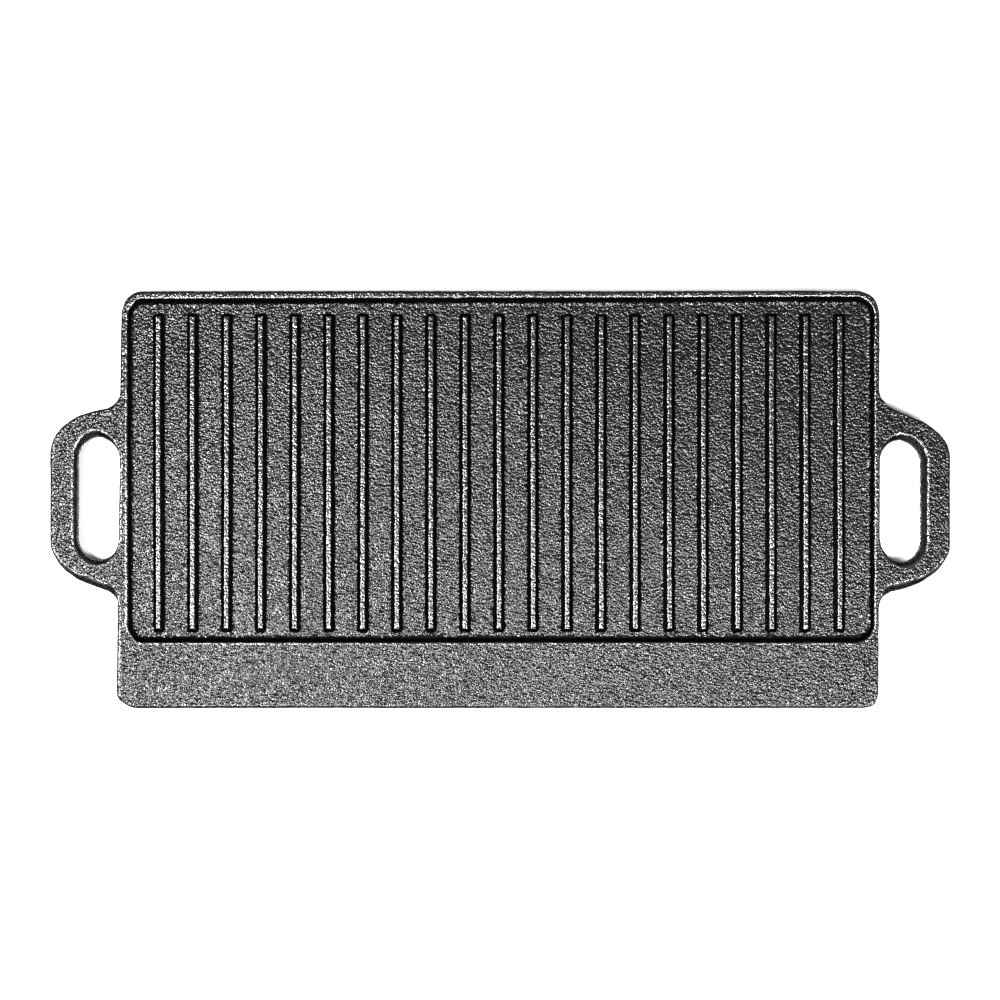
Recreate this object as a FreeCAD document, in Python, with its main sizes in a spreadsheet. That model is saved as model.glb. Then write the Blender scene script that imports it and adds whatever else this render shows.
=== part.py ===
import FreeCAD, Part
import math
import os
import Sketcher

# A reversible griddle for two burners: one grey-iron sand casting with a ribbed
# grill tray on this side, a flat cooking surface on the other, a plain shelf
# along the front edge and a loop handle at each end.
#
# Frame: +X along the length, +Y to the back edge, +Z up with the ribs on top.
# The origin is under the middle of the plate, in the plane that it rests on.
#
# The real object is one casting. Its features are kept as separate solids that
# meet face to face at dividing planes, with no gap and no overlap.

DRIVING_DIMENSIONS = [
    ("overall_length", 508.0),       # over both handles
    ("plate_length", 430.6),         # the plate between the handles
    ("plate_width", 236.4),          # back edge to front edge
    ("rim_height", 14.0),            # resting plane to top plane
    ("rim_land", 4.5),               # flat top of the rim round the tray
    ("wall_run", 1.8),               # how far the sloped tray wall leans in
    ("basin_depth", 5.5),            # top plane down to the tray floor
    ("web", 5.0),                    # casting thickness of floor and shelf
    ("shelf_width", 38.2),           # front edge to the edge of the tray
    ("back_corner_radius", 15.0),
    ("front_corner_radius", 10.0),
    ("edge_round", 1.5),             # outer and slot edges of the top plane
    ("rib_count", 21.0),
    ("rib_pitch", 19.2),
    ("rib_length", 180.0),
    ("rib_base_width", 6.6),
    ("rib_height", 4.0),
    ("rib_draft", 24.5),             # degrees that each rib face leans in
    ("rib_corner_radius", 1.6),
    ("rib_crest_round", 0.6),
    ("rib_front_gap", 3.2),          # tray wall foot to the front rib ends
    ("handle_thickness", 11.0),
    ("handle_root_width", 107.6),    # where its slanted edges meet the plate
    ("handle_end_width", 81.0),      # where they would meet the outer face
    ("handle_corner_radius", 24.0),
    ("handle_root_fillet", 11.0),
    ("handle_stub", 1.0),            # handle stub that stays on the side rim
    ("slot_width", 25.2),
    ("slot_length", 68.0),
]

PLATE_X = "dims.plate_length / 2"
PLATE_Y = "dims.plate_width / 2"
HANDLE_X = "dims.overall_length / 2"
TOP = "dims.rim_height"
WALL_FOOT = "(dims.rim_land + dims.wall_run)"
FLOOR_TOP = "(dims.rim_height - dims.basin_depth)"
FLOOR_BOTTOM = "(dims.rim_height - dims.basin_depth - dims.web)"
SHELF_BOTTOM = "(dims.rim_height - dims.web)"
HANDLE_BOTTOM = "(dims.rim_height - dims.handle_thickness)"
FLOOR_X = f"({PLATE_X} - {WALL_FOOT})"
FLOOR_BACK = f"({PLATE_Y} - {WALL_FOOT})"
TRAY_FRONT = f"(dims.shelf_width - {PLATE_Y})"
FLOOR_FRONT = f"({TRAY_FRONT} + dims.wall_run)"
RISER_FRONT = f"({TRAY_FRONT} - dims.web)"
FLOOR_RADIUS = f"(dims.back_corner_radius - {WALL_FOOT})"
CORNER_X = f"({PLATE_X} - dims.back_corner_radius)"
BACK_CORNER_Y = f"({PLATE_Y} - dims.back_corner_radius)"
FRONT_CORNER_Y = f"({FLOOR_FRONT} + {FLOOR_RADIUS})"
SLOT_END_RADIUS = "(dims.slot_width / 2)"
SLOT_STRAIGHT = "(dims.slot_length / 2 - dims.slot_width / 2)"

MIRRORED_NODES = [
    "rim",
    "handle_grip",
    "handle_back_arm",
    "handle_front_arm",
    "back_corner",
    "front_corner",
]

doc = FreeCAD.newDocument("reversible_griddle")
sheet = doc.addObject("Spreadsheet::Sheet", "dims")
nodes = []


def fill_sheet():
    """Put the driving dimensions in the sheet, each under its alias."""
    for row, (alias, value) in enumerate(DRIVING_DIMENSIONS, start=1):
        sheet.set(f"A{row}", alias)
        sheet.set(f"B{row}", str(value))
        sheet.setAlias(f"B{row}", alias)
    doc.recompute()


def number(expression):
    """The present value of an expression in the driving dimensions."""
    return float(sheet.evalExpression(expression))


def add_node(feature, name):
    """Name a sub-part and list it for export."""
    feature.Label = name
    nodes.append(feature)
    return feature


def new_body(name):
    return doc.addObject("PartDesign::Body", name)


def new_sketch(body, name, role, shift=("0", "0", "0")):
    """A sketch on one of the body's own origin planes, moved in that plane's axes."""
    plane = [item for item in body.Origin.OriginFeatures if item.Role == role][0]
    sketch = body.newObject("Sketcher::SketchObject", f"{body.Name}_{name}")
    sketch.AttachmentSupport = (plane, [""])
    sketch.MapMode = "FlatFace"
    for axis, amount in zip("xyz", shift):
        sketch.setExpression(f"AttachmentOffset.Base.{axis}", amount)
    return sketch


def bind(sketch, constraint, name, expression):
    """Add a dimension to a sketch and bind it to the sheet."""
    index = sketch.addConstraint(constraint)
    sketch.renameConstraint(index, name)
    sketch.setExpression(f"Constraints.{name}", expression)


def polygon(sketch, corners):
    """A closed polygon with every corner's two coordinates bound to the sheet."""
    points = [FreeCAD.Vector(number(across), number(up), 0) for across, up in corners]
    count = len(points)
    for index in range(count):
        sketch.addGeometry(Part.LineSegment(points[index], points[(index + 1) % count]))
    for index in range(count):
        sketch.addConstraint(
            Sketcher.Constraint("Coincident", index, 2, (index + 1) % count, 1)
        )
    for index, (across, up) in enumerate(corners):
        point = points[index]
        across_rule = Sketcher.Constraint("DistanceX", -1, 1, index, 1, point.x)
        up_rule = Sketcher.Constraint("DistanceY", -1, 1, index, 1, point.y)
        bind(sketch, across_rule, f"across_{index}", across)
        bind(sketch, up_rule, f"up_{index}", up)


def rectangle(sketch, low, high):
    """A rectangle between two opposite corners."""
    corners = [low, (high[0], low[1]), high, (low[0], high[1])]
    polygon(sketch, corners)


def obround(sketch, centre_x, straight, radius):
    """A slot along the sketch's upright axis: two straight sides, two half-round ends."""
    x = number(centre_x)
    y = number(straight)
    r = number(radius)
    up = FreeCAD.Vector(0, 0, 1)
    far_end = Part.Circle(FreeCAD.Vector(x, y, 0), up, r)
    near_end = Part.Circle(FreeCAD.Vector(x, -y, 0), up, r)
    sketch.addGeometry(
        Part.LineSegment(FreeCAD.Vector(x + r, -y, 0), FreeCAD.Vector(x + r, y, 0))
    )
    sketch.addGeometry(Part.ArcOfCircle(far_end, 0, math.pi))
    sketch.addGeometry(
        Part.LineSegment(FreeCAD.Vector(x - r, y, 0), FreeCAD.Vector(x - r, -y, 0))
    )
    sketch.addGeometry(Part.ArcOfCircle(near_end, math.pi, 2 * math.pi))
    for index in range(4):
        sketch.addConstraint(
            Sketcher.Constraint("Tangent", index, 2, (index + 1) % 4, 1)
        )
    bind(sketch, Sketcher.Constraint("Radius", 1, r), "radius", radius)
    bind(sketch, Sketcher.Constraint("DistanceX", -1, 1, 1, 3, x), "centre_x", centre_x)
    bind(sketch, Sketcher.Constraint("DistanceY", -1, 1, 1, 3, y), "far_y", straight)
    bind(sketch, Sketcher.Constraint("DistanceY", 3, 3, -1, 1, y), "near_y", straight)


def pad(body, sketch, name, length, taper=None):
    """Pad a sketch along its normal, leaning in by a taper angle if one is given."""
    feature = body.newObject("PartDesign::Pad", f"{body.Name}_{name}")
    feature.Profile = sketch
    feature.setExpression("Length", length)
    if taper:
        feature.setExpression("TaperAngle", taper)
    doc.recompute()
    return feature


def pocket_up(body, sketch, name, length):
    """Pocket from a sketch on the underside, upwards into the solid."""
    before = body.Shape.Volume
    feature = body.newObject("PartDesign::Pocket", f"{body.Name}_{name}")
    feature.Profile = sketch
    feature.Reversed = True
    feature.setExpression("Length", length)
    doc.recompute()
    if body.Shape.Volume >= before - 1.0:
        raise RuntimeError(f"{feature.Name} removes nothing")
    return feature


def round_edges(body, name, radius, wanted):
    """Round every edge of the body's tip that the test picks out."""
    base = body.Tip
    picked = []
    for index, edge in enumerate(base.Shape.Edges, start=1):
        if wanted(edge):
            picked.append(f"Edge{index}")
    if not picked:
        raise RuntimeError(f"{body.Name} has no edge for {name}")
    feature = body.newObject("PartDesign::Fillet", f"{body.Name}_{name}")
    feature.Base = (base, picked)
    feature.setExpression("Radius", radius)
    doc.recompute()
    return feature


def near(value, expression):
    return abs(value - number(expression)) < 0.01


def is_upright(edge):
    box = edge.BoundBox
    return box.XLength < 0.01 and box.YLength < 0.01 and box.ZLength > 0.5


def in_top_plane(edge):
    box = edge.BoundBox
    return near(box.ZMin, TOP) and near(box.ZMax, TOP)


def make_griddle_floor():
    """The flat web under the ribs; its underside is the smooth cooking surface."""
    body = new_body("griddle_floor")
    sketch = new_sketch(body, "outline", "XY_Plane", ("0", "0", FLOOR_BOTTOM))
    rectangle(sketch, (f"-{FLOOR_X}", FLOOR_FRONT), (FLOOR_X, FLOOR_BACK))
    pad(body, sketch, "plate", "dims.web")
    round_edges(body, "corners", FLOOR_RADIUS, is_upright)
    add_node(body, "griddle_floor")


def make_rib(index):
    """One grill rib: a bar that tapers to a narrow crest, standing on the floor."""
    name = f"grill_rib_{index + 1:02d}"
    body = new_body(name)
    sketch = new_sketch(body, "foot", "XY_Plane")
    half_width = "dims.rib_base_width / 2"
    half_length = "dims.rib_length / 2"
    rectangle(sketch, (f"-{half_width}", f"-{half_length}"), (half_width, half_length))
    pad(body, sketch, "bar", "dims.rib_height", "-dims.rib_draft")
    crest = number("dims.rib_height")

    def slanted_corner(edge):
        box = edge.BoundBox
        return abs(box.ZLength - crest) < 0.01

    def crest_edge(edge):
        box = edge.BoundBox
        return abs(box.ZMin - crest) < 0.01

    round_edges(body, "corners", "dims.rib_corner_radius", slanted_corner)
    round_edges(body, "crest", "dims.rib_crest_round", crest_edge)
    offset = f"({index} - (dims.rib_count - 1) / 2) * dims.rib_pitch"
    middle = f"{FLOOR_FRONT} + dims.rib_front_gap + dims.rib_length / 2"
    body.setExpression("Placement.Base.x", offset)
    body.setExpression("Placement.Base.y", middle)
    body.setExpression("Placement.Base.z", FLOOR_TOP)
    add_node(body, name)


def rim_section(outer):
    """Cross-section of the rim as corners, with the outer face at the given distance."""
    return [
        (outer, "0"),
        (outer, TOP),
        (f"{outer} - dims.rim_land", TOP),
        (f"{outer} - {WALL_FOOT}", FLOOR_TOP),
        (f"{outer} - {WALL_FOOT}", "0"),
    ]


def make_back_rim():
    body = new_body("back_rim")
    sketch = new_sketch(body, "section", "YZ_Plane", ("0", "0", f"-{CORNER_X}"))
    polygon(sketch, rim_section(PLATE_Y))
    pad(body, sketch, "bar", f"2 * {CORNER_X}")

    def outer_top(edge):
        return in_top_plane(edge) and near(edge.BoundBox.YMin, PLATE_Y)

    round_edges(body, "outer_edge", "dims.edge_round", outer_top)
    add_node(body, "back_rim")


def make_back_corner():
    """The rim's section turned through a quarter circle about the corner's centre."""
    body = new_body("right_back_corner")
    centre = (CORNER_X, "0", f"-{BACK_CORNER_Y}")
    sketch = new_sketch(body, "section", "XZ_Plane", centre)
    polygon(sketch, rim_section("dims.back_corner_radius"))
    turn = body.newObject("PartDesign::Revolution", "right_back_corner_turn")
    turn.Profile = sketch
    turn.ReferenceAxis = (sketch, ["V_Axis"])
    turn.Angle = 90
    doc.recompute()
    if body.Shape.BoundBox.YMax < number(PLATE_Y) - 0.01:
        turn.Reversed = True
        doc.recompute()

    def outer_top(edge):
        box = edge.BoundBox
        return in_top_plane(edge) and near(box.YMax, PLATE_Y) and near(box.XMax, PLATE_X)

    round_edges(body, "outer_edge", "dims.edge_round", outer_top)
    add_node(body, "right_back_corner")


def make_front_lip():
    body = new_body("front_lip")
    sketch = new_sketch(body, "outline", "XY_Plane")
    rectangle(sketch, (f"-{CORNER_X}", f"-{PLATE_Y}"), (CORNER_X, f"-{FLOOR_BACK}"))
    pad(body, sketch, "bar", TOP)

    def outer_top(edge):
        return in_top_plane(edge) and near(-edge.BoundBox.YMax, PLATE_Y)

    round_edges(body, "outer_edge", "dims.edge_round", outer_top)
    add_node(body, "front_lip")


def make_front_shelf():
    """The plain shelf along the front; the grease trough lies under it."""
    body = new_body("front_shelf")
    sketch = new_sketch(body, "outline", "XY_Plane", ("0", "0", SHELF_BOTTOM))
    rectangle(sketch, (f"-{CORNER_X}", f"-{FLOOR_BACK}"), (CORNER_X, RISER_FRONT))
    pad(body, sketch, "plate", "dims.web")
    add_node(body, "front_shelf")


def make_shelf_riser():
    """The wall that steps from the tray floor up to the shelf."""
    body = new_body("shelf_riser")
    sketch = new_sketch(body, "section", "YZ_Plane", ("0", "0", f"-{CORNER_X}"))
    section = [
        (FLOOR_FRONT, FLOOR_BOTTOM),
        (FLOOR_FRONT, FLOOR_TOP),
        (TRAY_FRONT, TOP),
        (RISER_FRONT, TOP),
        (RISER_FRONT, FLOOR_BOTTOM),
    ]
    polygon(sketch, section)
    pad(body, sketch, "wall", f"2 * {CORNER_X}")
    add_node(body, "shelf_riser")


def make_front_corner():
    """The end of the shelf, trough and riser, with the tray's rounded front corner."""
    body = new_body("right_front_corner")
    outline = new_sketch(body, "outline", "XY_Plane")
    rectangle(outline, (CORNER_X, f"-{PLATE_Y}"), (PLATE_X, FRONT_CORNER_Y))
    pad(body, outline, "block", TOP)

    def outer_corner(edge):
        box = edge.BoundBox
        return is_upright(edge) and near(box.XMax, PLATE_X) and near(-box.YMin, PLATE_Y)

    round_edges(body, "outer_corner", "dims.front_corner_radius", outer_corner)

    def outer_top(edge):
        box = edge.BoundBox
        on_outside = near(box.XMax, PLATE_X) or near(-box.YMin, PLATE_Y)
        on_division = near(box.YMin, FRONT_CORNER_Y) or near(box.XMax, CORNER_X)
        return in_top_plane(edge) and on_outside and not on_division

    round_edges(body, "outer_edge", "dims.edge_round", outer_top)
    well = new_sketch(body, "well", "XY_Plane")
    rectangle(well, (CORNER_X, f"-{FLOOR_BACK}"), (FLOOR_X, FRONT_CORNER_Y))
    pocket_up(body, well, "well_cut", FLOOR_BOTTOM)
    trough = new_sketch(body, "trough", "XY_Plane")
    rectangle(trough, (CORNER_X, f"-{FLOOR_BACK}"), (FLOOR_X, RISER_FRONT))
    pocket_up(body, trough, "trough_cut", SHELF_BOTTOM)
    before = body.Shape.Volume
    centre = (CORNER_X, "0", f"-{FRONT_CORNER_Y}")
    tray = new_sketch(body, "tray", "XZ_Plane", centre)
    section = [
        ("0", FLOOR_BOTTOM),
        (FLOOR_RADIUS, FLOOR_BOTTOM),
        (FLOOR_RADIUS, FLOOR_TOP),
        (f"{FLOOR_RADIUS} + dims.wall_run", TOP),
        ("0", TOP),
    ]
    polygon(tray, section)
    groove = body.newObject("PartDesign::Groove", "right_front_corner_tray_cut")
    groove.Profile = tray
    groove.ReferenceAxis = (tray, ["V_Axis"])
    groove.Angle = 360
    doc.recompute()
    if body.Shape.Volume >= before - 1.0:
        raise RuntimeError("the tray corner removes nothing")
    add_node(body, "right_front_corner")


def make_side_casting():
    """The right side rim with its whole loop handle, before it is divided."""
    body = new_body("right_side_casting")
    section = new_sketch(body, "section", "XZ_Plane", ("0", "0", f"-{BACK_CORNER_Y}"))
    polygon(section, rim_section(PLATE_X))
    pad(body, section, "rim", f"{BACK_CORNER_Y} - {FRONT_CORNER_Y}")
    outline = new_sketch(body, "handle_outline", "XY_Plane", ("0", "0", HANDLE_BOTTOM))
    inside = f"{PLATE_X} - dims.rim_land"
    root = "dims.handle_root_width / 2"
    end = "dims.handle_end_width / 2"
    corners = [
        (inside, f"-{root}"),
        (PLATE_X, f"-{root}"),
        (HANDLE_X, f"-{end}"),
        (HANDLE_X, end),
        (PLATE_X, root),
        (inside, root),
    ]
    polygon(outline, corners)
    pad(body, outline, "handle", "dims.handle_thickness")

    def handle_corner(edge):
        box = edge.BoundBox
        return is_upright(edge) and near(box.XMax, HANDLE_X) and near(abs(box.YMin), end)

    def handle_root(edge):
        box = edge.BoundBox
        return is_upright(edge) and near(box.XMax, PLATE_X) and near(abs(box.YMin), root)

    round_edges(body, "handle_corners", "dims.handle_corner_radius", handle_corner)
    round_edges(body, "handle_roots", "dims.handle_root_fillet", handle_root)
    slot = new_sketch(body, "slot", "XY_Plane", ("0", "0", HANDLE_BOTTOM))
    obround(slot, f"{PLATE_X} + {SLOT_END_RADIUS}", SLOT_STRAIGHT, SLOT_END_RADIUS)
    pocket_up(body, slot, "finger_slot", "dims.handle_thickness")

    def outer_or_slot_edge(edge):
        box = edge.BoundBox
        side = number(PLATE_X)
        straight_across = near(box.YMin, BACK_CORNER_Y) or near(box.YMax, FRONT_CORNER_Y)
        return in_top_plane(edge) and box.XMin > side - 0.01 and not straight_across

    round_edges(body, "top_edges", "dims.edge_round", outer_or_slot_edge)
    return body


def cutting_box(name, low, high):
    """A box between two opposite corners, for dividing the casting."""
    box = doc.addObject("Part::Box", name)
    sides = zip(("Length", "Width", "Height"), "xyz", low, high)
    for size_name, axis, start, stop in sides:
        box.setExpression(size_name, f"({stop}) - ({start})")
        box.setExpression(f"Placement.Base.{axis}", start)
    return box


def divide_side_casting(body):
    """Cut the side casting into its rim, two handle arms and the grip."""
    parting = f"({PLATE_X} + dims.handle_stub)"
    inside = f"{FLOOR_X} - 1"
    outside = f"{HANDLE_X} + 1"
    below = "-1"
    above = f"{TOP} + 1"
    back = f"{BACK_CORNER_Y} + 1"
    front = f"{FRONT_CORNER_Y} - 1"
    regions = {
        "rim": ((inside, front, below), (parting, back, above)),
        "handle_grip": (
            (parting, f"-{SLOT_STRAIGHT}", below),
            (outside, SLOT_STRAIGHT, above),
        ),
        "handle_back_arm": ((parting, SLOT_STRAIGHT, below), (outside, back, above)),
        "handle_front_arm": (
            (parting, front, below),
            (outside, f"-{SLOT_STRAIGHT}", above),
        ),
    }
    for name, (low, high) in regions.items():
        piece = doc.addObject("Part::Common", f"right_{name}")
        piece.Base = body
        piece.Tool = cutting_box(f"right_{name}_region", low, high)
        add_node(piece, f"right_{name}")
    doc.recompute()


def mirror_to_left(name):
    """The left-hand twin of a right-hand sub-part."""
    twin = doc.addObject("Part::Mirroring", f"left_{name}")
    twin.Source = doc.getObject(f"right_{name}")
    twin.Base = (0, 0, 0)
    twin.Normal = (1, 0, 0)
    add_node(twin, f"left_{name}")


def check_and_write():
    """Stop on any failed feature or bad shape, then write one STEP file per node."""
    doc.recompute()
    for item in doc.Objects:
        if "Invalid" in item.State or "Error" in item.State:
            raise RuntimeError(f"{item.Name} failed: {item.State}")
    for node in nodes:
        if node.Shape.isNull() or not node.Shape.isValid():
            raise RuntimeError(f"{node.Label} has no valid shape")
        if len(node.Shape.Solids) != 1:
            raise RuntimeError(f"{node.Label} is {len(node.Shape.Solids)} solids")
    os.makedirs("parts", exist_ok=True)
    for node in nodes:
        node.Shape.exportStep(f"parts/{node.Label}.step")
    volume = sum(node.Shape.Volume for node in nodes)
    iron_density = 7.2e-6
    print(f"{len(nodes)} nodes, {volume / 1000:.1f} cm3, {volume * iron_density:.2f} kg")


def main():
    fill_sheet()
    make_griddle_floor()
    for index in range(int(number("dims.rib_count"))):
        make_rib(index)
    make_back_rim()
    make_front_lip()
    make_front_shelf()
    make_shelf_riser()
    divide_side_casting(make_side_casting())
    make_back_corner()
    make_front_corner()
    for name in MIRRORED_NODES:
        mirror_to_left(name)
    check_and_write()


main()
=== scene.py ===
import itertools
import math

import bpy
import numpy as np
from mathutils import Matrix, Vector


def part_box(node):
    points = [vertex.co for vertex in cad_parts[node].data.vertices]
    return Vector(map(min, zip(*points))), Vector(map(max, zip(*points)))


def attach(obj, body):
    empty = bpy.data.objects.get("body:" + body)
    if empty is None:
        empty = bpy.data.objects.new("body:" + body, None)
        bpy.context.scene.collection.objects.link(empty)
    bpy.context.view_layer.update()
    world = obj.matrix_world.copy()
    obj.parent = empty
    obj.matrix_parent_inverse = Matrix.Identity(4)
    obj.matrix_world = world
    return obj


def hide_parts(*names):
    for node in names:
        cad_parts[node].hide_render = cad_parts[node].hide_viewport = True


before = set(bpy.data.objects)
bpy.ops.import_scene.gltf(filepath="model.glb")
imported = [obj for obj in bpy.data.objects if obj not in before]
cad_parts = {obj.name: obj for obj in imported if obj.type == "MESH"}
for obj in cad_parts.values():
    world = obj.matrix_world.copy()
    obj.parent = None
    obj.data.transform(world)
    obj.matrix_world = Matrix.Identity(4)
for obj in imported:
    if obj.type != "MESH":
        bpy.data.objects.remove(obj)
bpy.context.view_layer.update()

# A reversible cast-iron griddle, ribbed side up. The whole casting is described by two
# surfaces over the plan, ribbed_top and reverse_height, which meet at the mould's
# parting line. Each piece is one closed part of the plan between the two surfaces,
# and weathered() gives them all the same uneven sand-cast skin, so that they join
# without a seam. Lengths are millimetres until a mesh is made; lamps, camera and
# material are in metres.
MM = 0.001


def node_box(node):
    """The lowest and highest corner of a CAD node, in millimetres."""
    low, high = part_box(node)
    return np.array(low) / MM, np.array(high) / MM


# Places that the frame gives
FLOOR_LOW, FLOOR_HIGH = node_box("griddle_floor")
BACK_HIGH = node_box("back_rim")[1]
SHELF_LOW, SHELF_HIGH = node_box("front_shelf")
GRIP_LOW, GRIP_HIGH = node_box("right_handle_grip")
SIDE_LOW, SIDE_HIGH = node_box("right_rim")
PLATE_X = node_box("right_back_corner")[1][0]
PLATE_Y = BACK_HIGH[1]
TOP_Z = BACK_HIGH[2]
FLOOR_Z = FLOOR_HIGH[2]
FLOOR_REVERSE_Z = FLOOR_LOW[2]
SHELF_REVERSE_Z = SHELF_LOW[2]
HANDLE_REVERSE_Z = GRIP_LOW[2]
CORNER_X = BACK_HIGH[0]
BACK_CENTRE_Y = SIDE_HIGH[1]
FRONT_CENTRE_Y = SIDE_LOW[1]
FOOT_X = FLOOR_HIGH[0]
FOOT_BACK = FLOOR_HIGH[1]
FOOT_FRONT = FLOOR_LOW[1]
FOOT_RADIUS = FOOT_X - CORNER_X
RIM_WIDTH = PLATE_X - FOOT_X
TRAY_CENTRE = (0.0, (FOOT_BACK + FOOT_FRONT) / 2)
TRAY_HALF = (FOOT_X, (FOOT_BACK - FOOT_FRONT) / 2)
PART_SHARE = 0.32
PART_Z = PART_SHARE * TOP_Z + (1 - PART_SHARE) * HANDLE_REVERSE_Z
SLOT_RADIUS = (GRIP_LOW[0] - PLATE_X) / 2
SLOT_X = PLATE_X + SLOT_RADIUS
SLOT_STRAIGHT = GRIP_HIGH[1]
HANDLE_X = GRIP_HIGH[0]
RIB_NODES = sorted(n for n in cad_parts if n.startswith("grill_rib"))
RIB_X = np.array([sum(node_box(n))[0] / 2 for n in RIB_NODES])
RIB_LOW, RIB_HIGH = node_box(RIB_NODES[len(RIB_NODES) // 2])

# Outline details that a box doesn't give
BACK_RADIUS = PLATE_X - CORNER_X
FRONT_RADIUS = 10.0
HANDLE_ROOT_HALF = 53.8
HANDLE_END_HALF = 40.5
HANDLE_CORNER_RADIUS = 24.0
HANDLE_ROOT_RADIUS = 11.0
RIB_CORNER_RADIUS = 1.6

# Sections of the sloped walls: how far each leans, and how it is rounded
SIDE_RUN = 1.3
BACK_RUN = 2.3
FRONT_RUN = 2.5
WALL_FOOT_ROUND = 2.4
WALL_CREST_ROUND = 1.1
RIB_RUN = 2.1
RIB_FOOT_ROUND = 1.1
RIB_CREST_ROUND = 1.0
EDGE_RUN = 0.45
EDGE_ROUND = 1.5
LEFT_SLOT_RUN = 0.5
RIGHT_SLOT_RUN = 1.5
SLOT_END_RUN = 2.2
HANDLE_FRONT_RUN = 3.4
UNDER_DRAFT = 0.25
REVERSE_RUN = 0.9
REVERSE_ROUND = 1.0
TROUGH_RUN = 1.8
TROUGH_RADIUS = 4.0
FLASH_WIDTH = 0.45
FLASH_SLOPE = 0.5
FLASH_FOOT = 0.3
HANDLE_UNDER_ROUND = 1.5
PLATE_UNDER_ROUND = 1.0
SEAT_EDGE = 1.0
SEAT_DEPTH = 0.5

# The uneven skin of a sand casting: each noise has a lattice size and a depth
SKIN = 0.28
GRAIN_SIZE = 1.5
GRAIN_DEPTH = 0.13
LUMP_SIZE = 7.0
LUMP_DEPTH = 0.11
SWAY_SIZE = 48.0
SWAY_DEPTH = 0.14
SWAY_STRETCH = (1, 1, 0.5)
NOISE_TABLE = 4096
HASH_PRIMES = (73856093, 19349663, 83492791)
NUDGE = 0.02

# How far this casting is off its pattern, as the photograph shows it
RIB_SHIFT = -0.7
BACK_WALL_SHIFT = -1.4
BACK_WALL_TILT = 1.35
LEFT_WALL_SHIFT = 0.7
LEFT_FLARE = 3.0
RIGHT_FLARE = 0.6
RIGHT_EDGE_SHIFT = -1.4
LEFT_SLOT_SHIFT = 1.8
RIGHT_SLOT_SHIFT = -2.5
LEFT_HANDLE_SHIFT = 1.0
RIGHT_HANDLE_SHIFT = -1.2
LEFT_HANDLE_STRETCH = 1.1
RIGHT_HANDLE_STRETCH = 0.7

# Worn edges and the painted highlight on them: how far it looks for a curve, the drop that counts as full,
# and its soft borders
WEAR_AND_HIGHLIGHT_REACH = 1.4
WEAR_AND_HIGHLIGHT_DROP = 3.0
WEAR_AND_HIGHLIGHT_FADE = 1.0
FLASH_HIGHLIGHT_FADE = 0.15

# Mesh spacing
INSET = 2.4
STEP = 0.85
CLOSEST = 0.07
CREST_STEP = 0.6
JOINT_STEP = 0.3
SEAT_STEP = 2.7
ARC_STEPS = 5
CORNER_STEPS = 18
HANDLE_STEPS = 76
CURVE_POINTS = 60
FLOOR_THIN = 3
RIB_THIN = 6


# Sections

def ramp(distance, run, rise, low_round, high_round):
    """Height of a wall that climbs rise over run from distance 0, with its foot and crest rounded."""
    slope = np.arctan2(rise, run)
    foot = low_round * np.tan(slope / 2)
    crest = high_round * np.tan(slope / 2)
    foot_arc = low_round - np.sqrt(np.clip(low_round**2 - (distance + foot) ** 2, 0, None))
    to_crest = run + crest - distance
    crest_arc = rise - high_round + np.sqrt(np.clip(high_round**2 - to_crest**2, 0, None))
    height = np.where(distance < foot * np.cos(slope), foot_arc, np.tan(slope) * distance)
    height = np.where(distance > run - crest * np.cos(slope), crest_arc, height)
    height = np.where(distance < -foot, 0.0, height)
    return np.where(to_crest < 0, rise, height)


def ramp_marks(run, rise, low_round, high_round):
    """Distances at which mesh lines follow such a wall."""
    slope = math.atan2(rise, run)
    reach = math.tan(slope / 2)
    turns = np.linspace(0, slope, ARC_STEPS + 1)
    foot = low_round * (np.sin(turns) - reach)
    crest = run + high_round * (reach - np.sin(turns))
    return merge(foot, crest, [(foot[-1] + crest[-1]) / 2])


def edge_profile(distance, run, rise, rounding):
    """Height above the parting line, going in from an edge: the flash, the drafted side, the rounding."""
    flash = np.minimum(distance, FLASH_WIDTH) * FLASH_SLOPE
    side = rise - FLASH_WIDTH * FLASH_SLOPE
    return flash + ramp(distance - FLASH_WIDTH, run, side, FLASH_FOOT, rounding)


def edge_marks(run):
    """Distances at which mesh lines follow an outer edge."""
    side = ramp_marks(run, TOP_Z - PART_Z, FLASH_FOOT, EDGE_ROUND)
    return merge([0.0], FLASH_WIDTH + side[side > 0])


# Distances in plan

def rounded_box(x, y, centre, half, radius):
    """Signed distance to a rounded rectangle, negative inside, and the direction out of it."""
    across = np.abs(x - centre[0]) - (half[0] - radius)
    along = np.abs(y - centre[1]) - (half[1] - radius)
    corner = np.hypot(np.maximum(across, 0), np.maximum(along, 0))
    inside = np.minimum(np.maximum(across, along), 0)
    by_corner = (across > 0) & (along > 0)
    safe = np.maximum(corner, 1e-9)
    out_x = np.where(by_corner, across / safe, across >= along)
    out_y = np.where(by_corner, along / safe, across < along)
    return corner + inside - radius, out_x, out_y * np.sign(y - centre[1])


def handle_frame():
    """The right handle's back half: the slanted edge's direction and the way out of it, and the
    centres of the root arc and the corner arc."""
    slant = np.array((HANDLE_X - PLATE_X, HANDLE_END_HALF - HANDLE_ROOT_HALF))
    slant /= np.linalg.norm(slant)
    out = np.array((-slant[1], slant[0]))
    root_x = PLATE_X + HANDLE_ROOT_RADIUS
    root_y = HANDLE_ROOT_HALF + HANDLE_ROOT_RADIUS * (1 - out[0]) / out[1]
    corner_x = HANDLE_X - HANDLE_CORNER_RADIUS
    lean = HANDLE_CORNER_RADIUS + (corner_x - PLATE_X) * out[0]
    corner_y = HANDLE_ROOT_HALF - lean / out[1]
    return slant, out, np.array((root_x, root_y)), np.array((corner_x, corner_y))


SLANT, SLANT_OUT, ROOT_CENTRE, HANDLE_CENTRE = handle_frame()


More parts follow.
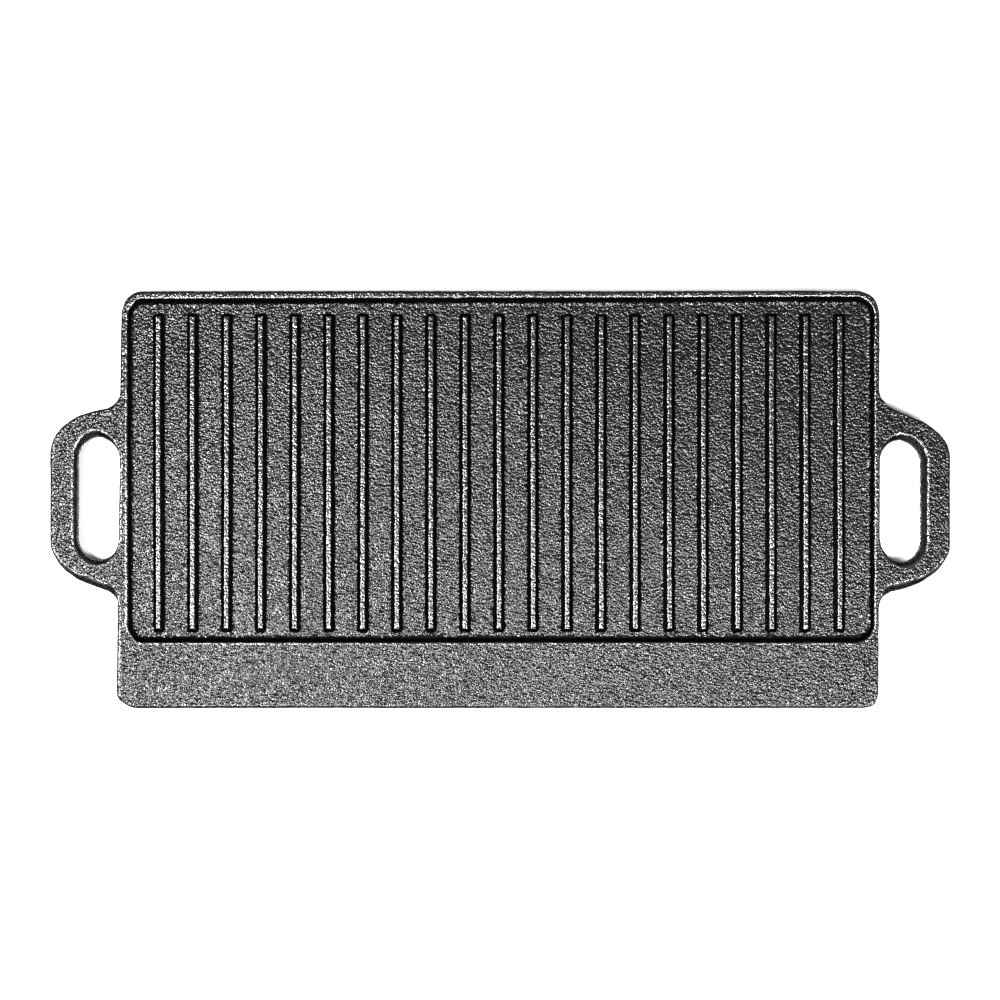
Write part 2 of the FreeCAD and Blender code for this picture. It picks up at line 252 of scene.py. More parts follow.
def outline_distance(x, y):
    """Distance in from the outer outline, and how far a handle's edge faces the front (negative)
    or the back (positive)."""
    radius = np.where(y > 0, BACK_RADIUS, FRONT_RADIUS)
    plate = rounded_box(x, y, (0.0, 0.0), (PLATE_X, PLATE_Y), radius)[0]
    side_x = np.abs(x)
    side_y = np.abs(y)
    root = np.hypot(side_x - ROOT_CENTRE[0], side_y - ROOT_CENTRE[1])
    from_x = side_x - HANDLE_CENTRE[0]
    from_y = side_y - HANDLE_CENTRE[1]
    to_slant = from_x * SLANT_OUT[0] + from_y * SLANT_OUT[1]
    past_slant = from_x * SLANT[0] + from_y * SLANT[1] < 0
    reach = np.where(past_slant, to_slant, np.where(from_y < 0, from_x, np.hypot(from_x, from_y)))
    out_y = np.where(past_slant, SLANT_OUT[1], np.clip(from_y / HANDLE_CORNER_RADIUS, 0, 1))
    on_root = (side_x - ROOT_CENTRE[0]) * SLANT[0] + (side_y - ROOT_CENTRE[1]) * SLANT[1] < 0
    handle = np.where(on_root, root - HANDLE_ROOT_RADIUS, HANDLE_CORNER_RADIUS - reach)
    root_out = np.clip((ROOT_CENTRE[1] - side_y) / HANDLE_ROOT_RADIUS, 0, 1)
    out_y = np.where(on_root, root_out, out_y)
    on_plate = side_y > ROOT_CENTRE[1]
    distance = np.where(on_plate, -plate, handle)
    return distance, np.where(on_plate, 0.0, out_y * np.sign(y))


def slot_distance(x, y):
    """Distance out from a finger slot, and how far that edge is on the slot's end."""
    past = np.maximum(np.abs(y) - SLOT_STRAIGHT, 0)
    reach = np.hypot(np.abs(x) - SLOT_X, past)
    return reach - SLOT_RADIUS, past / np.maximum(reach, 1e-9)


# The two surfaces

def tray_height(x, y):
    """The tray floor, its walls and the flat top of rim and shelf."""
    distance, out_x, out_y = rounded_box(x, y, TRAY_CENTRE, TRAY_HALF, FOOT_RADIUS)
    lean = np.where(out_y > 0, BACK_RUN, FRONT_RUN)
    run = SIDE_RUN * out_x**2 + lean * out_y**2
    return FLOOR_Z + ramp(distance, run, TOP_Z - FLOOR_Z, WALL_FOOT_ROUND, WALL_CREST_ROUND)


def rib_distance(x, y):
    """Distance in from the foot of the nearest rib."""
    pitch = RIB_X[1] - RIB_X[0]
    centre = np.clip(np.round(x / pitch) * pitch, RIB_X[0], RIB_X[-1])
    middle = (centre, (RIB_LOW[1] + RIB_HIGH[1]) / 2)
    half = (RIB_HIGH - RIB_LOW)[:2] / 2
    return -rounded_box(x, y, middle, half, RIB_CORNER_RADIUS)[0]


def rib_height(x, y):
    """The ribs, above the tray floor."""
    rise = RIB_HIGH[2] - FLOOR_Z
    return ramp(rib_distance(x, y), RIB_RUN, rise, RIB_FOOT_ROUND, RIB_CREST_ROUND)


def edge_height(x, y, rise, rounding, way):
    """The outer sides and the slots' sides, up or down from the parting line."""
    outer, facing = outline_distance(x, y)
    slot, slot_end = slot_distance(x, y)
    outer_run = EDGE_RUN + (HANDLE_FRONT_RUN - EDGE_RUN) * np.minimum(facing, 0) ** 2
    slot_side_run = np.where(x < 0, LEFT_SLOT_RUN, RIGHT_SLOT_RUN)
    slot_run = slot_side_run + (SLOT_END_RUN - slot_side_run) * slot_end**2
    if way < 0:
        outer_run, slot_run = UNDER_DRAFT * outer_run, UNDER_DRAFT * slot_run
    side = edge_profile(outer, outer_run, rise, rounding)
    slot_side = edge_profile(slot, slot_run, rise, rounding)
    return PART_Z + way * np.minimum(side, slot_side)


def plate_top(x, y):
    """The ribbed side without its ribs."""
    edge = edge_height(x, y, TOP_Z - PART_Z, EDGE_ROUND, 1)
    return np.minimum(tray_height(x, y), edge)


def seated_top(x, y):
    """plate_top with a shallow seat under each rib, so that rib and floor share no face."""
    return plate_top(x, y) - np.where(rib_distance(x, y) > SEAT_EDGE, SEAT_DEPTH, 0.0)


def ribbed_top(x, y):
    """The whole ribbed side."""
    return plate_top(x, y) + rib_height(x, y)


def rib_seat(x, y):
    """Where a rib stands."""
    return np.full_like(x, FLOOR_Z - SEAT_DEPTH)


def reverse_height(x, y):
    """The smooth side: resting rim, cooking surface, grease trough and the handles' undersides."""
    centre = (0.0, (SHELF_LOW[1] + SHELF_HIGH[1]) / 2)
    half = (FOOT_X, (SHELF_HIGH[1] - SHELF_LOW[1]) / 2)
    inner = rounded_box(x, y, (0.0, 0.0), (FOOT_X, PLATE_Y - RIM_WIDTH), FOOT_RADIUS)[0]
    trough = rounded_box(x, y, centre, half, TROUGH_RADIUS)[0]
    flat = ramp(-inner, REVERSE_RUN, FLOOR_REVERSE_Z, REVERSE_ROUND, REVERSE_ROUND)
    deep = ramp(-trough, TROUGH_RUN, SHELF_REVERSE_Z, REVERSE_ROUND, REVERSE_ROUND)
    out = np.abs(x) - PLATE_X + REVERSE_RUN
    beside = np.abs(y) < ROOT_CENTRE[1] + HANDLE_ROOT_RADIUS
    step = ramp(out, REVERSE_RUN, HANDLE_REVERSE_Z, FLASH_FOOT, FLASH_FOOT) * beside
    base = np.maximum(np.maximum(flat, deep), step)
    on_handle = np.clip(out / REVERSE_RUN, 0, 1)
    rounding = PLATE_UNDER_ROUND + (HANDLE_UNDER_ROUND - PLATE_UNDER_ROUND) * on_handle
    return np.maximum(base, edge_height(x, y, PART_Z - base, rounding, -1))


# Casting skin

def vector_noise(points, seed):
    """Smooth random vectors from -1 to 1, at points given in lattice cells."""
    table = np.random.default_rng(seed).uniform(-1, 1, (NOISE_TABLE, 3))
    cell = np.floor(points).astype(np.int64)
    part = points - cell
    part = part * part * (3 - 2 * part)
    total = np.zeros_like(points)
    for corner in itertools.product((0, 1), repeat=3):
        i, j, k = ((cell + corner) * HASH_PRIMES).T
        pick = (i ^ j ^ k) & (NOISE_TABLE - 1)
        weight = np.prod(np.where(corner, part, 1 - part), axis=1)
        total += table[pick] * weight[:, None]
    return total


def smooth_step(value):
    """0 below 0, 1 above 1, and smooth between."""
    value = np.clip(value, 0, 1)
    return value * value * (3 - 2 * value)


def slot_flash_highlight(x, y):
    """Where the thin flash around a finger slot is made bright: partly metal knocked clean, partly a
    painted highlight along the slot's edge.
    """
    return smooth_step((FLASH_WIDTH + FLASH_HIGHLIGHT_FADE - slot_distance(x, y)[0]) / FLASH_HIGHLIGHT_FADE)


def drift(points):
    """How far a point is off the pattern: edges flare, ribs and tray walls are a little out of
    place, and the handles and their slots are uneven. Each shift fades out over a few millimetres."""
    x, y = points[:, 0], points[:, 1]
    out = np.abs(x)
    on_left = x < 0
    moved = np.zeros_like(points)

    # The plate's side edges
    beyond_wall = smooth_step((out - FOOT_X - 1) / 4)
    on_plate = smooth_step((HANDLE_X - 5 - out) / 25)
    off_handle = smooth_step((np.abs(y) - HANDLE_ROOT_HALF + 4) / 12)
    along = y / (2 * PLATE_Y)
    left = LEFT_FLARE * along * on_plate
    right = (RIGHT_EDGE_SHIFT + RIGHT_FLARE * along) * off_handle
    moved[:, 0] = np.where(on_left, left, right) * beyond_wall

    # The ribs
    moved[:, 0] += RIB_SHIFT * smooth_step((FOOT_X - out) / 8)

    # The slots' outer sides
    near_slot = smooth_step((HANDLE_X - out) / 11) * smooth_step((HANDLE_ROOT_HALF - np.abs(y)) / 12)
    near_slot *= smooth_step((out - PLATE_X + 4) / (2 * SLOT_RADIUS))
    moved[:, 0] += np.where(on_left, LEFT_SLOT_SHIFT, RIGHT_SLOT_SHIFT) * near_slot

    # The tray's back and left walls
    inland = smooth_step(outline_distance(x, y)[0] / 3.5)
    near_back_wall = smooth_step((y - FOOT_BACK + 8) / 6) * inland
    near_left_wall = smooth_step((5 - np.abs(x + FOOT_X)) / 3) * inland
    to_right = 0.5 + 0.5 * np.clip(x / CORNER_X, -1, 1)
    moved[:, 0] += LEFT_WALL_SHIFT * near_left_wall
    moved[:, 1] = (BACK_WALL_SHIFT + BACK_WALL_TILT * to_right) * near_back_wall

    # The handles
    shift = np.where(on_left, LEFT_HANDLE_SHIFT, RIGHT_HANDLE_SHIFT)
    stretch = np.where(on_left, LEFT_HANDLE_STRETCH, RIGHT_HANDLE_STRETCH)
    sideways = shift + stretch * np.clip(y / HANDLE_END_HALF, -1, 1)
    moved[:, 1] += sideways * smooth_step((out - PLATE_X) / 20)
    return moved


def weathered(x, y, z):
    """Where a point of the drawn shape lies on this casting. It stays in the CAD model's box."""
    points = np.stack((x, y, z), -1)
    half = np.array((HANDLE_X, PLATE_Y, TOP_Z / 2))
    middle = np.array((0.0, 0.0, TOP_Z / 2))
    shrunk = middle + (points - middle) * (1 - SKIN / half)
    skin = GRAIN_DEPTH * vector_noise(points / GRAIN_SIZE, 11)
    skin += LUMP_DEPTH * vector_noise(points / LUMP_SIZE, 12)
    skin += SWAY_DEPTH * vector_noise(points / SWAY_SIZE, 13) * SWAY_STRETCH
    placed = shrunk + skin + drift(points)
    return np.clip(placed, middle - half, middle + half)


def surface(height, x, y):
    """The skin's points over plan points x, y, and the directions straight out of it."""
    points = weathered(x, y, height(x, y))
    east = weathered(x + NUDGE, y, height(x + NUDGE, y))
    west = weathered(x - NUDGE, y, height(x - NUDGE, y))
    north = weathered(x, y + NUDGE, height(x, y + NUDGE))
    south = weathered(x, y - NUDGE, height(x, y - NUDGE))
    normals = np.cross(east - west, north - south)
    normals /= np.maximum(np.linalg.norm(normals, axis=1), 1e-12)[:, None]
    return points, normals


def bend(height, x, y):
    """How strongly the drawn shape curves at plan points: above 0 on edges, below 0 in hollows."""
    around = height(x + WEAR_AND_HIGHLIGHT_REACH, y) + height(x - WEAR_AND_HIGHLIGHT_REACH, y)
    around += height(x, y + WEAR_AND_HIGHLIGHT_REACH) + height(x, y - WEAR_AND_HIGHLIGHT_REACH)
    return np.clip((4 * height(x, y) - around) / WEAR_AND_HIGHLIGHT_DROP, -1, 1)


# Meshes

def merge(*groups):
    """All the values in order, without near repeats. The first and last always stay."""
    values = np.sort(np.concatenate([np.atleast_1d(g) for g in groups]))
    kept = [values[0]]
    for value in values:
        if value - kept[-1] > CLOSEST:
            kept.append(value)
    kept[-1] = values[-1]
    return np.array(kept)


def spread(start, end, spacing=STEP):
    """Evenly spaced values from start to end."""
    return np.linspace(start, end, round(abs(end - start) / spacing) + 1)


def grid(across, along):
    """Plan points on straight lines."""
    return np.stack(np.meshgrid(across, along, indexing="ij"), -1)


def perimeter(numbers):
    """The outer ring of a grid of numbers."""
    return np.concatenate((numbers[:-1, 0], numbers[-1, :-1], numbers[:0:-1, -1], numbers[0, :0:-1]))


def every(count, step):
    """Every step-th line of count, with both ends."""
    return np.unique(np.append(np.arange(0, count, step), count - 1))


def quads(numbers):
    """The faces between the points of a grid."""
    corners = (numbers[:-1, :-1], numbers[1:, :-1], numbers[1:, 1:], numbers[:-1, 1:])
    return np.stack(corners, -1).reshape(-1, 4)


def side_faces(upper, lower, rows, columns):
    """The closing faces between the borders of the two grids. The lower may have fewer points."""
    last_row, last_column = rows[-1], columns[-1]
    below = {}
    for i, row in enumerate(rows):
        for j, column in enumerate(columns):
            if row in (0, last_row) or column in (0, last_column):
                below[upper[row, column]] = lower[i, j]
    ring = [int(v) for v in perimeter(upper)]
    stops = [i for i, v in enumerate(ring) if v in below]
    faces = []
    for start, stop in zip(stops, stops[1:] + [len(ring)]):
        top = (ring + ring[:1])[start:stop + 1]
        face = [int(below[top[0]]), int(below[top[-1]]), *reversed(top)]
        faces.append(face)
    return faces


def counter_clockwise(plan):
    """The same grid of plan points, in the order that makes its faces look up."""
    along = plan[1:, :-1] - plan[:-1, :-1]
    across = plan[:-1, 1:] - plan[:-1, :-1]
    if np.sum(along[..., 0] * across[..., 1] - along[..., 1] * across[..., 0]) < 0:
        return plan[:, ::-1]
    return plan


def without_repeats(face):
    """A face's corners, without any that repeats the one before it."""
    return [corner for i, corner in enumerate(face) if corner != face[i - 1]]


def wear_and_highlight(top, reverse, above, below, top_normals, low_normals):
    """What drives the worn edges and their painted highlight: curves of faces that look up or down, away
    from the outer edges, and the flash of the finger slots."""
    inland = smooth_step((outline_distance(*above)[0] - EDGE_ROUND) / WEAR_AND_HIGHLIGHT_FADE)
    top_curve = bend(top, *above) * top_normals[:, 2] ** 2 * inland
    low_curve = -bend(reverse, *below) * low_normals[:, 2] ** 2
    # The slot flash term adds a painted highlight along the finger slots' edges.
    return np.concatenate((np.maximum(top_curve, slot_flash_highlight(*above)), low_curve))


def link_piece(name, points, normals, curve, faces):
    mesh = bpy.data.meshes.new(name + "_casting")
    mesh.from_pydata((points * MM).tolist(), [], faces)
    mesh.validate()
    mesh.polygons.foreach_set("use_smooth", np.ones(len(mesh.polygons), bool))
    # This attribute carries the worn edges together with their painted highlight.
    attribute = mesh.attributes.new("curve", "FLOAT", "POINT")
    attribute.data.foreach_set("value", curve.astype(np.float32))
    mesh.normals_split_custom_set_from_vertices(normals.tolist())
    mesh.materials.append(IRON)
    piece = bpy.data.objects.new(name + "_casting", mesh)
    bpy.context.scene.collection.objects.link(piece)
    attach(piece, "root")
    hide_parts(name)


def cast_piece(name, plan, top=plate_top, reverse=reverse_height, thin=1):
    """One closed piece of the casting over a grid of plan points. name is the CAD node that it
    stands for, and thin skips lines of its reverse."""
    plan = counter_clockwise(plan)
    rows, columns = every(plan.shape[0], thin), every(plan.shape[1], thin)
    shared = np.ix_(rows, columns)
    above = plan.reshape(-1, 2).T
    below = plan[shared].reshape(-1, 2).T
    top_points, top_normals = surface(top, *above)
    low_points, low_normals = surface(reverse, *below)

    # Where the two surfaces meet, they share a point
    upper = np.arange(above.shape[1]).reshape(plan.shape[:2])
    lower = (upper.size + np.arange(below.shape[1])).reshape(len(rows), len(columns))
    apart = np.linalg.norm(top_points[upper[shared]].reshape(-1, 3) - low_points, axis=1)
    lower = np.where((apart < 1e-6).reshape(lower.shape), upper[shared], lower)

    faces = quads(upper).tolist() + quads(lower)[:, ::-1].tolist()
    faces += side_faces(upper, lower, rows, columns)
    faces = [without_repeats(face) for face in faces]
    faces = [face for face in faces if len(set(face)) > 2]
    points = np.concatenate((top_points, low_points))
    normals = np.concatenate((top_normals, -low_normals))
    # These values lighten the colour on edges, crests and slot flash: worn metal with a painted highlight.
    curve = wear_and_highlight(top, reverse, above, below, top_normals, low_normals)

    # Only the points that some face uses are kept
    used = np.unique(np.concatenate(faces))
    number = np.full(len(points), -1)
    number[used] = np.arange(len(used))
    faces = [[int(number[corner]) for corner in face] for face in faces]
    link_piece(name, points[used], normals[used], curve[used], faces)


# Plans of the pieces

def round_corners(plan, centre, half, radius):
    """Bends the square corners of a grid into arcs."""
    offset = plan - centre
    inner = np.array(half) - radius
    past = (np.abs(offset) - inner) / radius
    u, v = past[..., 0], past[..., 1]
    both = (u > 0) & (v > 0)
    bent_u = u * np.sqrt(np.clip(1 - v**2 / 2, 0, 1))
    bent_v = v * np.sqrt(np.clip(1 - u**2 / 2, 0, 1))
    bent = np.stack((bent_u, bent_v), -1)
    moved = centre + np.sign(offset) * (inner + bent * radius)
    return np.where(both[..., None], moved, plan)


def floor_plan():
    """The tray floor inside the foot of its walls, with few lines under the ribs."""
    flare = ramp_marks(RIB_RUN, RIB_HIGH[2] - FLOOR_Z, RIB_FOOT_ROUND, RIB_CREST_ROUND)[0]
    half_rib = (RIB_HIGH[0] - RIB_LOW[0]) / 2 - flare
    centre = np.array(TRAY_CENTRE)
    half = np.array(TRAY_HALF) - INSET
    rib_edges = np.repeat(RIB_X, 2) + np.tile((-half_rib, half_rib), len(RIB_X))
    edges = np.concatenate(([-half[0]], rib_edges, [half[0]]))
    gaps = [spread(a, b) for a, b in edges.reshape(-1, 2)]
    seats = [spread(x - half_rib, x + half_rib, SEAT_STEP) for x in RIB_X]
    rows = spread(centre[1] - half[1], centre[1] + half[1])
    return round_corners(grid(merge(*gaps, *seats), rows), centre, half, FOOT_RADIUS - INSET)


def rib_plan(x):
    """One rib with the flare of its foot."""
    marks = ramp_marks(RIB_RUN, RIB_HIGH[2] - FLOOR_Z, RIB_FOOT_ROUND, RIB_CREST_ROUND)
    centre = np.array((x, (RIB_LOW[1] + RIB_HIGH[1]) / 2))
    half = (RIB_HIGH - RIB_LOW)[:2] / 2
    crest = half - marks[-1]
    across = merge(marks - half[0], half[0] - marks, spread(-crest[0], crest[0], CREST_STEP))
    ends = merge(marks - half[1], half[1] - marks, spread(-crest[1], crest[1]))
    plan = grid(centre[0] + across, centre[1] + ends)
    return round_corners(plan, centre, half - marks[0], RIB_CORNER_RADIUS - marks[0])


def rim_offsets():
    """Distances out from the foot of the tray wall, over the rim to the outer edge."""
    wall = ramp_marks(BACK_RUN, TOP_Z - FLOOR_Z, WALL_FOOT_ROUND, WALL_CREST_ROUND)
    under = -ramp_marks(REVERSE_RUN, FLOOR_REVERSE_Z, REVERSE_ROUND, REVERSE_ROUND)
    edge = RIM_WIDTH - edge_marks(EDGE_RUN)
    return merge([-INSET], wall, under, edge, spread(wall[-1], edge[0], CREST_STEP))


def back_rim_plan():
    return grid(spread(-CORNER_X, CORNER_X), FOOT_BACK + rim_offsets())


def back_corner_plan():
    angles = np.linspace(0, math.pi / 2, CORNER_STEPS)[:, None]
    radius = FOOT_RADIUS + rim_offsets()
    return np.stack((CORNER_X + radius * np.cos(angles), BACK_CENTRE_Y + radius * np.sin(angles)), -1)


def side_rim_plan():
    """Closer lines where the slot and the handle's roots meet the rim."""
    near_slot = spread(SLOT_STRAIGHT, SLOT_STRAIGHT + 7, JOINT_STEP)
    near_root = spread(ROOT_CENTRE[1] - 6, ROOT_CENTRE[1], JOINT_STEP)
    joints = merge(near_slot, near_root)
    along = merge(spread(FRONT_CENTRE_Y, BACK_CENTRE_Y), joints, -joints)
    return grid(FOOT_X + rim_offsets(), along)


def front_lines(start, end):
    """Lines across the front of the plate, between two places on Y."""
    wall = FOOT_FRONT - ramp_marks(FRONT_RUN, TOP_Z - FLOOR_Z, WALL_FOOT_ROUND, WALL_CREST_ROUND)
    trough = ramp_marks(TROUGH_RUN, SHELF_REVERSE_Z, REVERSE_ROUND, REVERSE_ROUND)
    edge = edge_marks(EDGE_RUN) - PLATE_Y
    lines = merge(wall, SHELF_HIGH[1] - trough, SHELF_LOW[1] + trough, edge, spread(start, end))
    return merge([start, end], lines[(lines > end) & (lines < start)])


def front_plan(start, end):
    return grid(spread(-CORNER_X, CORNER_X), front_lines(start, end))


def arc(centre, radius, start, end):
    """Points on an arc, its angles in degrees."""
    turns = np.radians(np.linspace(start, end, CURVE_POINTS))
    return np.stack((centre[0] + radius * np.cos(turns), centre[1] + radius * np.sin(turns)), -1)


def stations(path, count):
    """Evenly spaced points on a path."""
    path = np.asarray(path)
    length = np.append(0, np.cumsum(np.linalg.norm(np.diff(path, axis=0), axis=1)))
    at = np.linspace(0, length[-1], count)
    return np.stack([np.interp(at, length, path[:, axis]) for axis in (0, 1)], -1)


def between(inner, outer, inner_marks, outer_marks, middle):
    """Grid lines from one edge to another, set close together by both of them."""
    length = np.linalg.norm(outer - inner, axis=1)[:, None]
    squeeze = np.minimum(1, 0.9 * length / (inner_marks[-1] + outer_marks[-1]))
    first = inner_marks * squeeze
    last = length - outer_marks[::-1] * squeeze
    share = np.linspace(0, 1, middle + 2)[1:-1]
    inside = first[:, -1:] + share * (last[:, :1] - first[:, -1:])
    along = np.concatenate((first, inside, last), 1) / length
    return inner[:, None] + along[..., None] * (outer - inner)[:, None]


def front_corner_plan():
    """From the tray's rounded corner out to the plate's corner."""
    count = 3 * CORNER_STEPS
    inner = arc((CORNER_X, FRONT_CENTRE_Y), FOOT_RADIUS - INSET, 0, -90)
    centre = (PLATE_X - FRONT_RADIUS, FRONT_RADIUS - PLATE_Y)
    side = [(PLATE_X, FRONT_CENTRE_Y)]
    outer = np.concatenate((side, arc(centre, FRONT_RADIUS, 0, -90), [(CORNER_X, -PLATE_Y)]))
    wall = ramp_marks(FRONT_RUN, TOP_Z - FLOOR_Z, WALL_FOOT_ROUND, WALL_CREST_ROUND)
    inner_marks = merge([0.0], INSET + wall)
    return between(stations(inner, count), stations(outer, count), inner_marks, edge_marks(EDGE_RUN), 34)


def arm_rails():
    """The slot's edge and the outer edge along the right handle's back arm, from the rim to the grip."""
    lean = math.degrees(math.atan2(SLANT_OUT[1], SLANT_OUT[0]))
    slot_centre = (SLOT_X, SLOT_STRAIGHT)
    inner = arc(slot_centre, SLOT_RADIUS, 180, 0)
    root = arc(ROOT_CENTRE, HANDLE_ROOT_RADIUS, 180, 180 + lean)
    corner = arc(HANDLE_CENTRE, HANDLE_CORNER_RADIUS, lean, 0)
    outer = np.concatenate((root, corner, [(HANDLE_X, SLOT_STRAIGHT)]))
    return inner, outer


def arm_plan():
    inner, outer = arm_rails()
    slot_marks = merge(edge_marks(LEFT_SLOT_RUN), edge_marks(RIGHT_SLOT_RUN), edge_marks(SLOT_END_RUN))
    outer_marks = merge(edge_marks(EDGE_RUN), edge_marks(HANDLE_FRONT_RUN))
    inner = stations(inner, HANDLE_STEPS)
    outer = stations(outer, HANDLE_STEPS)
    return between(inner, outer, slot_marks, outer_marks, 16)


def grip_plan():
    along = spread(-SLOT_STRAIGHT, SLOT_STRAIGHT)
    inner = np.stack((np.full_like(along, GRIP_LOW[0]), along), -1)
    outer = np.stack((np.full_like(along, HANDLE_X), along), -1)
    slot_marks = merge(edge_marks(LEFT_SLOT_RUN), edge_marks(RIGHT_SLOT_RUN))
    return between(inner, outer, slot_marks, edge_marks(EDGE_RUN), 12)


# Material: cells are per metre, depths in metres

PEBBLE_CELLS = 760.0
PEBBLE_DEPTH = 0.00047
PEBBLE_WARP_CELLS = 350.0
PEBBLE_WARP = 0.0010
GRIT_CELLS = 2600.0
GRIT_DEPTH = 0.00003


def add_node(tree, kind, **inputs):
    node = tree.nodes.new(kind)
    for name, value in inputs.items():
        node.inputs[name.replace("_", " ")].default_value = value
    return node


def noise(tree, place, scale, detail=3.0, roughness=0.55):
    """A noise texture whose scale is in cells per metre."""
    node = add_node(tree, "ShaderNodeTexNoise", Scale=scale, Detail=detail, Roughness=roughness)
    tree.links.new(place, node.inputs["Vector"])
    return node.outputs["Fac"]


def ranged(tree, value, low, high, to_low, to_high):
    """A value moved from one range to another."""
    node = tree.nodes.new("ShaderNodeMapRange")
    settings = (("From Min", low), ("From Max", high), ("To Min", to_low), ("To Max", to_high))
    for name, number in settings:
        node.inputs[name].default_value = number
    tree.links.new(value, node.inputs["Value"])
    return node.outputs["Result"]


def mixed(tree, share, first, second):
    """A blend of two colours, each a socket or a plain colour."""
    node = tree.nodes.new("ShaderNodeMix")
    node.data_type = "RGBA"
    tree.links.new(share, node.inputs["Factor"])
    for socket, colour in (("A", first), ("B", second)):
        target = [s for s in node.inputs if s.name == socket and s.type == "RGBA"][0]
        if isinstance(colour, tuple):
            target.default_value = colour
        else:
            tree.links.new(colour, target)
    return [s for s in node.outputs if s.type == "RGBA"][0]


def added(tree, first, second):
    node = tree.nodes.new("ShaderNodeMath")
    tree.links.new(first, node.inputs[0])
    tree.links.new(second, node.inputs[1])
    return node.outputs[0]


def pebbled(tree, place):
    """The height of a sand-cast skin: small uneven pebbles packed side by side."""
    warp = add_node(tree, "ShaderNodeTexNoise", Scale=PEBBLE_WARP_CELLS, Detail=1.0)
    tree.links.new(place, warp.inputs["Vector"])
    shifted = tree.nodes.new("ShaderNodeVectorMath")
    shifted.operation = "MULTIPLY_ADD"
    shifted.inputs[1].default_value = (PEBBLE_WARP, PEBBLE_WARP, PEBBLE_WARP)
    tree.links.new(warp.outputs["Color"], shifted.inputs[0])
    tree.links.new(place, shifted.inputs[2])
    cells = add_node(tree, "ShaderNodeTexVoronoi", Scale=PEBBLE_CELLS)
    cells.feature = "SMOOTH_F1"
    cells.inputs["Smoothness"].default_value = 0.25
    tree.links.new(shifted.outputs[0], cells.inputs["Vector"])
    domes = tree.nodes.new("ShaderNodeMath")
    domes.operation = "POWER"
    domes.inputs[1].default_value = 2.0
    tree.links.new(cells.outputs["Distance"], domes.inputs[0])
    return domes.outputs[0]


def seasoned_iron():
    """Sand-cast iron under baked-on oil: dark and unevenly glossy. Its edges, rib crests and slot flash are
    brighter, worn to the metal and with a painted highlight there as well.
    """
    material = bpy.data.materials.new("seasoned_cast_iron")
    material.use_nodes = True
    tree = material.node_tree
    shader = tree.nodes["Principled BSDF"]
    place = tree.nodes.new("ShaderNodeTexCoord").outputs["Object"]
    curve = tree.nodes.new("ShaderNodeAttribute")
    curve.attribute_name = "curve"
    patches = ranged(tree, noise(tree, place, 14.0), 0.35, 0.65, 0.0, 1.0)
    specks = ranged(tree, noise(tree, place, 420.0), 0.40, 0.62, 0.0, 0.10)
    # The curve attribute lightens edges, rib crests and the slots' flash: partly worn metal, partly painted
    # highlight.
    rubbed_and_highlight = ranged(tree, curve.outputs["Fac"], 0.15, 0.8, 0.0, 0.9)
    black = (0.045, 0.045, 0.0445, 1.0)
    brown = (0.051, 0.0495, 0.048, 1.0)
    # Pale metal colour for the random specks, and for the worn edges with their painted highlight.
    bare_and_highlight = (0.240, 0.240, 0.237, 1.0)
    colour = mixed(tree, patches, black, brown)
    colour = mixed(tree, specks, colour, bare_and_highlight)
    colour = mixed(tree, rubbed_and_highlight, colour, bare_and_highlight)
    tree.links.new(colour, shader.inputs["Base Color"])
    dull = ranged(tree, noise(tree, place, 60.0), 0.3, 0.7, 0.25, 0.29)
    fine = ranged(tree, noise(tree, place, 900.0), 0.3, 0.7, -0.03, 0.03)
    tree.links.new(added(tree, dull, fine), shader.inputs["Roughness"])
    shader.inputs["Metallic"].default_value = 1.0
    shader.inputs["Specular Tint"].default_value = (0.2, 0.2, 0.2, 1.0)
    pebbles = add_node(tree, "ShaderNodeBump", Strength=1.0, Distance=PEBBLE_DEPTH)
    pebbles.invert = True
    tree.links.new(ranged(tree, rubbed_and_highlight, 0.0, 0.9, 1.0, 0.5), pebbles.inputs["Strength"])
    tree.links.new(pebbled(tree, place), pebbles.inputs["Height"])
    grit = add_node(tree, "ShaderNodeBump", Strength=1.0, Distance=GRIT_DEPTH)
    tree.links.new(noise(tree, place, GRIT_CELLS, 2.0, 0.5), grit.inputs["Height"])
    tree.links.new(pebbles.outputs["Normal"], grit.inputs["Normal"])
    tree.links.new(grit.outputs["Normal"], shader.inputs["Normal"])
    return material


def pale_floor():
    material = bpy.data.materials.new("pale_floor")
    material.use_nodes = True
    shader = material.node_tree.nodes["Principled BSDF"]
    shader.inputs["Base Color"].default_value = (0.97, 0.97, 0.97, 1.0)
    shader.inputs["Roughness"].default_value = 0.9
    return material


# Building

IRON = seasoned_iron()


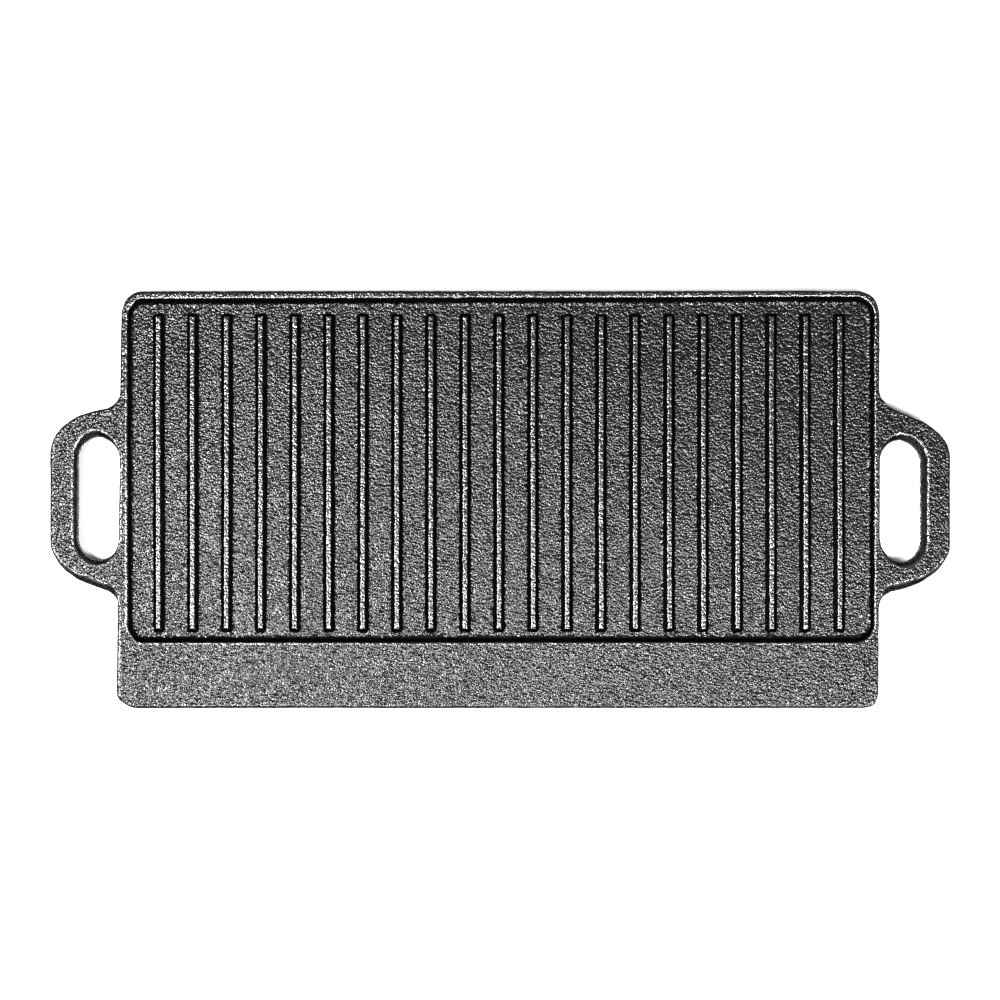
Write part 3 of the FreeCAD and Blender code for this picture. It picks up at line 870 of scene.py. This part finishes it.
def build_plate():
    cast_piece("griddle_floor", floor_plan(), seated_top, thin=FLOOR_THIN)
    for node, x in zip(RIB_NODES, RIB_X):
        cast_piece(node, rib_plan(x), ribbed_top, rib_seat, thin=RIB_THIN)
    cast_piece("back_rim", back_rim_plan())
    cast_piece("shelf_riser", front_plan(FOOT_FRONT + INSET, SHELF_HIGH[1]))
    cast_piece("front_shelf", front_plan(SHELF_HIGH[1], SHELF_LOW[1]))
    cast_piece("front_lip", front_plan(SHELF_LOW[1], -PLATE_Y))
    for side, place in (("right", np.array((1, 1))), ("left", np.array((-1, 1)))):
        cast_piece(f"{side}_back_corner", back_corner_plan() * place)
        cast_piece(f"{side}_rim", side_rim_plan() * place)
        cast_piece(f"{side}_front_corner", front_corner_plan() * place)


def build_handles():
    for side, sign in (("right", 1), ("left", -1)):
        cast_piece(f"{side}_handle_back_arm", arm_plan() * (sign, 1))
        cast_piece(f"{side}_handle_front_arm", arm_plan() * (sign, -1))
        cast_piece(f"{side}_handle_grip", grip_plan() * (sign, 1))


def add_floor():
    half = 9.0
    mesh = bpy.data.meshes.new("floor")
    corners = [(-half, -half, 0), (half, -half, 0), (half, half, 0), (-half, half, 0)]
    mesh.from_pydata(corners, [], [(0, 1, 2, 3)])
    mesh.materials.append(pale_floor())
    floor = bpy.data.objects.new("floor", mesh)
    bpy.context.scene.collection.objects.link(floor)


def add_light(name, place, size, power):
    """A soft square lamp that faces the object."""
    light = bpy.data.lights.new(name, "AREA")
    light.size = size
    light.energy = power
    lamp = bpy.data.objects.new(name, light)
    lamp.location = place
    lamp.rotation_euler = Vector(place).to_track_quat("Z", "Y").to_euler()
    bpy.context.scene.collection.objects.link(lamp)


def add_studio():
    add_floor()
    add_light("left_softbox", (-0.60, -0.18, 1.12), 0.35, 22.0)
    add_light("right_softbox", (0.46, -0.48, 1.00), 0.30, 15.0)
    world = bpy.data.worlds.new("studio")
    world.use_nodes = True
    world.node_tree.nodes["Background"].inputs["Color"].default_value = (0.30, 0.30, 0.30, 1.0)
    bpy.context.scene.world = world
    bpy.context.scene.view_settings.view_transform = "Standard"
    bpy.context.scene.view_settings.look = "Medium High Contrast"


def add_camera():
    """Straight above the plate, a little left of its middle and towards the front."""
    data = bpy.data.cameras.new("camera")
    data.sensor_width = 36.0
    data.lens = 52.3
    data.shift_x = 0.03
    data.shift_y = 0.09
    camera = bpy.data.objects.new("camera", data)
    camera.location = (-0.017, -0.051, TOP_Z * MM + 0.815)
    bpy.context.scene.collection.objects.link(camera)
    bpy.context.scene.camera = camera


build_plate()
build_handles()
add_studio()
add_camera()
